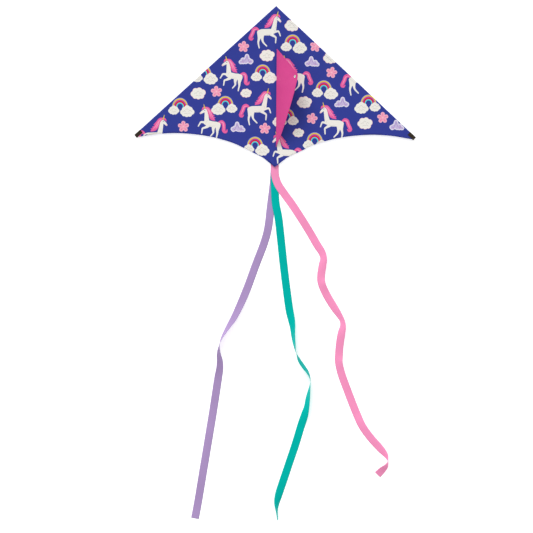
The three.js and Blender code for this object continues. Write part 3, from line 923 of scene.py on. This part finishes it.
def spreaderPatch(side, label):
    # a doubled patch under the sail where the spreader bears, sewn round its edge
    node = f"spreader_patch_{label}"
    outline = planOutline(node)
    low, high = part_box(node)
    size, cells = high - low, 12
    points = [Vector(p) for p in outline]
    points += [Vector((low.x + size.x * (column + 0.5) / cells, low.y + size.y * (row + 0.5) / cells))
               for row in range(cells) for column in range(cells)]
    found, faces = filled(points, [list(range(len(outline)))], bool)
    piece = meshPiece(f"spreaderPatch{label.title()}", [(*p, sailHeight(*p) - 0.0005) for p in found], faces,
                      "seamTape", found)
    thicken(piece, 0.0003)
    dressed(piece, f"wing_{label}", "sail_fabric", node)
    middle = Vector((sum(p[0] for p in outline) / len(outline), sum(p[1] for p in outline) / len(outline)))
    ring = []
    for p in outline + outline[:1]:
        x, y = middle + (Vector(p) - middle) * 0.86
        ring.append(Vector((x, y, sailHeight(x, y) - 0.00066)))
    stitchRow(f"patchStitch{label.title()}", ring, f"wing_{label}", "blueThread", up=(0, 0, -1))


def trailingHem(side, label):
    # the narrow hem turned under the trailing edge
    line = trailingLine(side, sleeve["hem"] / 2)
    points, uvs, walk = [], [], 0.0
    section = bandSection(sleeve["hem"], 0.0005)
    for i, spot in enumerate(line):
        back, front = around(line, i)
        ahead = (front - back).normalized()
        sideways = ahead.cross(Vector((0, 0, 1)))
        walk += (spot - line[i - 1]).length if i else 0
        for a, b in section:
            across = spot + sideways * a
            points.append(Vector((across.x, across.y, sailHeight(across.x, across.y) - 0.0004 + b)))
            uvs.append((walk, a))
    faces = tubeFaces(len(line), len(section))
    piece = meshPiece(f"trailingHem{label.title()}", points, faces, "blueCloth", uvs)
    outward(piece)
    dressed(piece, f"wing_{label}", "sail_fabric")
    return piece


print("edges, sleeves and webbing")
for side, label in ((-1, "left"), (1, "right")):
    _, _, place = edgeFrame(side)
    for part in ("front", "rear"):
        leadingSleeve(side, label, part)
    webbingPocket(side, label)
    spreaderPatch(side, label)
    trailingHem(side, label)
    row = [onSail(place(0.06 + 0.012 * k, sleeve["stitchInset"], 0)) for k in range(72)]
    stitchRow(f"leadingStitch{label.title()}", row, f"wing_{label}", "blueThread")
    row = [onSail(p) for p in trailingLine(side, sleeve["hemStitch"])][1:]
    stitchRow(f"trailingStitch{label.title()}", row, f"wing_{label}", "blueThread")

# spine: seam tape, sleeve and end pockets
print("spine")
tape = {"half": 0.0075, "thickness": 0.00035, "front": 0.013, "rear": 0.806, "stitch": 0.0036}


def tapeHalf(side, label):
    # one side of the tape that backs the centre seam, under the sail
    across = [0.0, 0.0016, 0.0032, 0.0046, 0.0058, 0.0066, tape["half"]]
    rows, depth = 110, cloth["thickness"] / 2 + tape["thickness"] / 2 + 0.00003

    def spot(i, k):
        x, down = across[k], tape["front"] + (tape["rear"] - tape["front"]) * i / rows
        y = noseY - down
        wander = x + (0.0003 * ripple(down * 9, side, 3) if x == tape["half"] else 0)
        return (side * wander, y, sailHeight(side * x, y) - depth), (down, x)

    piece = gridPiece(f"seamTape{label.title()}", rows + 1, len(across), spot, "seamTape", tape["thickness"])
    foldBeside(piece)
    dressed(piece, None, "sail_fabric", *(["centre_strip"] if side < 0 else []))
    sail, flat, area = sails[label]
    row = [onSail(Vector((side * tape["stitch"], noseY - down / 100, 0))) for down in range(2, 80)]
    stitchRow(f"tapeStitch{label.title()}", row, "spine", "blueThread")


def spineSleeve():
    low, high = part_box("spine_sleeve")
    under = sailZ - cloth["thickness"] / 2 - tape["thickness"]
    half = [(-0.0045, under), (-0.0036, 0.0102), (-0.0030, 0.0084), (-0.0021, 0.0063), (0.0, low.z + 0.0003)]
    path, girth = smoothPath(half + [(-x, z) for x, z in reversed(half[:-1])], 20)
    steps = 60

    def spot(i, k):
        x, z = path[k]
        y = high.y + (low.y - high.y) * i / steps
        share = k / (len(path) - 1)
        slack = 0.0003 * math.sin(math.pi * share) * (1 + ripple(y * 18, x * 90, 1))
        return (x, y, z - slack), (y, share * girth)

    piece = gridPiece("spineSleeve", steps + 1, len(path), spot, "blueCloth", sleeve["thickness"])
    dressed(piece, "spine", "sail_fabric", "spine_sleeve")


endWebbing = {"half": 0.0004, "bend": 0.0022}


def endPocket(node, name):
    # webbing under the end of the spine, turned up over the cap and sewn to the sail
    low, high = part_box(node)
    half, bend = endWebbing["half"], endWebbing["bend"]
    closed, opened = (high.y, low.y) if node == "nose_pocket" else (low.y, high.y)
    back = 1 if closed > opened else -1
    path = [(opened + (closed - back * bend - opened) * k / 8, low.z + half) for k in range(9)]
    for k in range(1, 6):
        turn = math.pi / 2 * k / 5
        path.append((closed - back * bend + back * (bend - half) * math.sin(turn),
                     low.z + half + (bend - half) * (1 - math.cos(turn))))
    path += [(closed - back * half, z) for z in (0.008, 0.0096, 0.0111)]
    spots = [Vector((0, y, z)) for y, z in path]
    piece = loft(name, alongPath(spots, (1, 0, 0)), bandSection(high.x - low.x, 2 * half), "webbing")
    dressed(piece, "spine", "webbing", node)
    pathLength(spots)
    for k, offset in enumerate((-0.0045, 0.0045)):
        row = [Vector((offset, opened + (closed - opened) * t, low.z)) for t in (0.08, 0.85)]
        stitchRow(f"{name}Stitch{k}", row, "spine", "darkThread", up=(0, 0, -1), pitch=0.003, length=0.0023)


tapeHalf(-1, "left")
tapeHalf(1, "right")
spineSleeve()
endPocket("nose_pocket", "nosePocket")
endPocket("tail_pocket", "tailPocket")

# keel
print("keel")
keelNormal = max(frame["nodes"]["keel_panel"].data.polygons, key=lambda p: p.area).normal.copy()
keelNormal *= 1 if keelNormal.z > 0 else -1
keelAcross = Vector((keelNormal.z, 0, -keelNormal.x))
keelCloth = {"grid": 0.009, "thickness": 0.00026, "belly": 0.0045, "crease": 0.0009, "hem": 0.0065}
towPlace = (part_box("grommet_eyelet")[0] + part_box("grommet_eyelet")[1]) / 2


def toKeel(point):
    rel = Vector(point) - keelHinge
    return rel.dot(keelAcross), rel.y + keelHinge.y, rel.dot(keelNormal)


towAcross, towY, _ = toKeel(towPlace)


def keelHeight(across, y):
    # the keel hangs with a slight belly, and creases run in to the tow point
    span = max(p[0] for p in keelOutline)
    reach = math.hypot(across - towAcross, y - towY)
    flat = smoothstep(0.010, 0.045, reach)
    run = min(1.0, max(0.0, (y - keelLowY) / (keelHighY - keelLowY)))
    belly = keelCloth["belly"] * math.sin(math.pi * run) * math.sin(math.pi * min(1, across / span) * 0.9)
    turn = math.atan2(y - towY, across - towAcross)
    creases = math.sin(turn * 9 + 2.2 * ripple(across * 12, y * 12, 0)) * math.exp(-reach * 9)
    return (belly + keelCloth["crease"] * (creases + 0.8 * ripple(across * 16, y * 9, 7))) * flat \
        * smoothstep(0, 0.02, across)


def keelSpot(across, y, lift=0.0):
    return keelHinge + Vector((0, y - keelHinge.y, 0)) + keelAcross * across \
        + keelNormal * (keelHeight(across, y) + lift)


keelOutline = max(flatOutlines("keel_panel", toKeel),
                  key=lambda loop: max(p[1] for p in loop) - min(p[1] for p in loop))
keelLowY, keelHighY = min(p[1] for p in keelOutline), max(p[1] for p in keelOutline)


def keelPanel():
    outline = [(-0.0002 if u < 0.001 else u, v) for u, v in keelOutline]
    hole = [(towAcross + 0.0046 * math.cos(k / 32 * math.tau), towY + 0.0046 * math.sin(k / 32 * math.tau))
            for k in range(32)]
    points = [Vector(p) for p in outline + hole]
    rings = [list(range(len(outline))), list(range(len(outline), len(outline) + len(hole)))]
    wide = max(p[0] for p in outline)
    step = keelCloth["grid"]
    for row in range(int((keelHighY - keelLowY) / step)):
        for column in range(int(wide / step)):
            points.append(Vector((step * (column + (0.5 if row % 2 else 0.1)), keelLowY + step * (row + 0.5))))
    found, faces = filled(points, rings, lambda owners: 0 in owners and 1 not in owners)
    piece = meshPiece("keelPanel", [keelSpot(*p) for p in found], faces, "keelCloth", found)
    thicken(piece, keelCloth["thickness"])
    dressed(piece, "keel", "keel_fabric", "keel_panel")
    # the free edges, from the front of the hinge line round the tow corner to the rear
    edge = sorted((p for p in keelOutline if p[0] > 0.001), key=lambda p: -p[1])
    edge = [(0.001, keelHighY - 0.0006)] + edge + [(0.001, keelLowY + 0.0006)]
    hem = []
    rows = []
    for i, (u, v) in enumerate(edge):
        (au, av), (bu, bv) = around(edge, i)
        run = math.hypot(bu - au, bv - av)
        nu, nv = (bv - av) / run, -(bu - au) / run  # points in, away from the free edge
        inset = keelCloth["hem"] / 2
        spot = keelSpot(u + nu * inset, v + nv * inset)
        sideways = (keelAcross * nu + Vector((0, nv, 0))).normalized()
        hem.append((spot, sideways, keelNormal))
        rows.append((u + nu * (keelCloth["hem"] - 0.0012), v + nv * (keelCloth["hem"] - 0.0012)))
    strip = loft("keelHem", hem, bandSection(keelCloth["hem"], 0.0009), "keelCloth")
    dressed(strip, "keel", "keel_fabric")
    for sign, name in ((1, "keelStitchUp"), (-1, "keelStitchUnder")):
        stitchRow(name, [keelSpot(u, v, sign * 0.00045) for u, v in rows if u > 0.006], "keel", "pinkThread",
                  up=keelNormal * sign)


def grommet():
    # a rolled eyelet and its washer, with soft edges
    low, high = 0.0043, 0.0075
    profile = [(low, -0.0016), (low + 0.0001, -0.0020), (low + 0.0006, -0.0022), (low + 0.0013, -0.0019),
               (low + 0.0016, -0.0014), (high - 0.0007, -0.0012), (high - 0.0001, -0.0009), (high, -0.0006),
               (high - 0.0002, -0.0003), (0.0049, -0.0003), (0.0049, 0.0003), (high - 0.0002, 0.0003),
               (high, 0.0006), (high - 0.0001, 0.0010), (high - 0.0008, 0.0014), (low + 0.0016, 0.0017),
               (low + 0.0008, 0.0016), (low + 0.0002, 0.0012), (low, 0.0006)]
    sides, points, uvs = 40, [], []
    centre = keelSpot(towAcross, towY)
    for i in range(sides):
        turn = i / sides * math.tau
        out = keelAcross * math.cos(turn) + Vector((0, math.sin(turn), 0))
        for radius, w in profile:
            points.append(centre + out * radius + keelNormal * w)
            uvs.append((turn * radius, w))
    piece = meshPiece("towGrommet", points, gridFaces(sides, len(profile), True, True), "nickel", uvs)
    outward(piece)
    dressed(piece, "keel", "grommet_metal", "grommet_eyelet", "grommet_washer")


keelPanel()
grommet()

# ribbons
print("ribbons")
# each lies along stations of across, down from the nose, and turn about its own length: millimetres and degrees
ribbons = {
    "lilac": {"material": "lilacSatin", "layer": 0, "landing": (775, 2622), "stations": [
        (0, 775, 0), (-2, 850, 0), (-8, 930, 0), (-18, 1013, 0), (-32, 1135, 0), (-50, 1205, 0), (-92, 1319, 0),
        (-136, 1442, 3), (-174, 1534, 22), (-204, 1596, 38), (-224, 1628, 52), (-243, 1660, 64),
        (-261, 1692, 76), (-273, 1722, 88), (-278, 1752, 104), (-277, 1782, 120), (-272, 1812, 136),
        (-272, 1848, 150), (-280, 1902, 168), (-302, 2055, 180), (-321, 2178, 180), (-350, 2362, 180),
        (-379, 2546, 180), (-392, 2618.5, 180)]},
    "teal": {"material": "tealSatin", "layer": 1, "landing": (1240, 1420), "stations": [
        (0, 775, 0), (0, 860, 0), (1, 935, 0), (7, 1012, 0), (20, 1075, 0), (35, 1196, 0), (49, 1318, 0),
        (65, 1440, 0), (82, 1555, 10), (92, 1600, 28), (98, 1640, 48), (102, 1685, 62), (108, 1725, 72),
        (117, 1768, 90), (133, 1806, 112), (154, 1837, 116), (174, 1864, 110), (187, 1893, 98), (190, 1928, 88),
        (185, 1960, 74), (179, 2000, 58), (173, 2045, 48), (163, 2085, 24), (145, 2143, 0), (118, 2235, 0),
        (78, 2358, 0), (48, 2450, 0), (33, 2498, -18), (25, 2535, -46), (25, 2572, -74), (30, 2620, -84)]},
    "pink": {"material": "pinkSatin", "layer": 2, "landing": (975, 1140), "stations": [
        (0, 775, 0), (0, 820, 0), (2, 862, 0), (17, 908, 0), (50, 957, 0), (92, 1014, 0), (170, 1133, 0),
        (222, 1220, 8), (245, 1256, 26), (253, 1286, 34), (248, 1320, 16), (241, 1378, 4), (244, 1412, 14),
        (269, 1469, 6), (306, 1530, 18), (334, 1572, 42), (350, 1600, 52), (355, 1628, 46), (348, 1665, 22),
        (340, 1720, 4), (336, 1775, 6), (335, 1812, 18), (347, 1866, 8), (381, 1958, 0), (430, 2080, 0),
        (459, 2141, 14), (505, 2203, 14), (552, 2254, 24), (577, 2284, 52), (587, 2311, 90), (580, 2340, 130),
        (560, 2364, 158), (538, 2387, 170)]},
}
satin = {"width": 0.040, "thickness": 0.00035, "across": 10, "layerStep": 0.00135, "cup": 0.0007, "wave": 0.0012}


def ribbon(name, spec):
    dense, length = smoothPath([(x / 1000, noseY - down / 1000, turn) for x, down, turn in spec["stations"]], 420)
    landing = [down / 1000 for down in spec["landing"]]
    last, columns, half = len(dense) - 1, satin["across"], satin["width"] / 2

    def spot(i, k):
        x, y, degrees = dense[i]
        (ax, ay, _), (bx, by, _) = around(dense, i)
        ahead = Vector((bx - ax, by - ay, 0)).normalized()
        turn = math.radians(degrees)
        across = Vector((-ahead.y, ahead.x, 0))
        wide = across * math.cos(turn) + Vector((0, 0, math.sin(turn)))
        face = across * -math.sin(turn) + Vector((0, 0, math.cos(turn)))
        down, along, share = noseY - y, length * i / last, 2 * k / columns - 1
        # it lies over the ribbons under it until it reaches the ground, and stands up where it turns
        rise = half * abs(wide.z) + 0.0005 * abs(face.z)
        middle = Vector((x, y, rise + spec["layer"] * satin["layerStep"] * (1 - smoothstep(*landing, down))))
        wave = satin["wave"] * (0.5 + 0.5 * ripple(along * 11, share * 0.9, spec["layer"] * 5.0))
        bow = (satin["cup"] * (1 - share * share) + wave * (0.35 + 0.65 * abs(share))) * smoothstep(0.86, 0.95, down)
        return middle + wide * share * half + face * (bow if face.z >= 0 else -bow), (along, share * half)

    piece = gridPiece(f"ribbon{name.title()}", last + 1, columns + 1, spot, spec["material"], satin["thickness"])
    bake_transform(piece)
    dressed(piece, None, f"ribbon_{name}", f"tail_{name}")
    print(f"  {name} ribbon {length:.3f} m")


for name, spec in ribbons.items():
    ribbon(name, spec)

# rods, caps and spreader fittings keep their shapes
print("rods and fittings")
for node, holder in frame["nodes"].items():
    kind = ("fibreglass" if node.endswith(("spar", "rod")) or "_spar_" in node else
            "vinyl" if "_cap_" in node else "nylon" if "cradle" in node else None)
    if kind:
        holder.data.materials.clear()
        holder.data.materials.append(finishes[kind])

# floor
print("floor")
ground = {"tone": (0.94, 0.94, 0.94, 1), "glow": 0.42, "reach": 30, "level": -0.0004}
floorMaterial = bpy.data.materials.new("paleFloor")
floorMaterial.use_nodes = True
for label, value in (("Base Color", ground["tone"]), ("Roughness", 0.9), ("Emission Color", (1, 1, 1, 1)),
                     ("Emission Strength", ground["glow"])):
    floorMaterial.node_tree.nodes["Principled BSDF"].inputs[label].default_value = value
floorMesh = bpy.data.meshes.new("floor")
floorMesh.from_pydata([(x * ground["reach"], y * ground["reach"], ground["level"])
                       for x, y in ((-1, -1), (1, -1), (1, 1), (-1, 1))], [], [(0, 1, 2, 3)])
floorMesh.materials.append(floorMaterial)
floor = linked("floor", floorMesh)
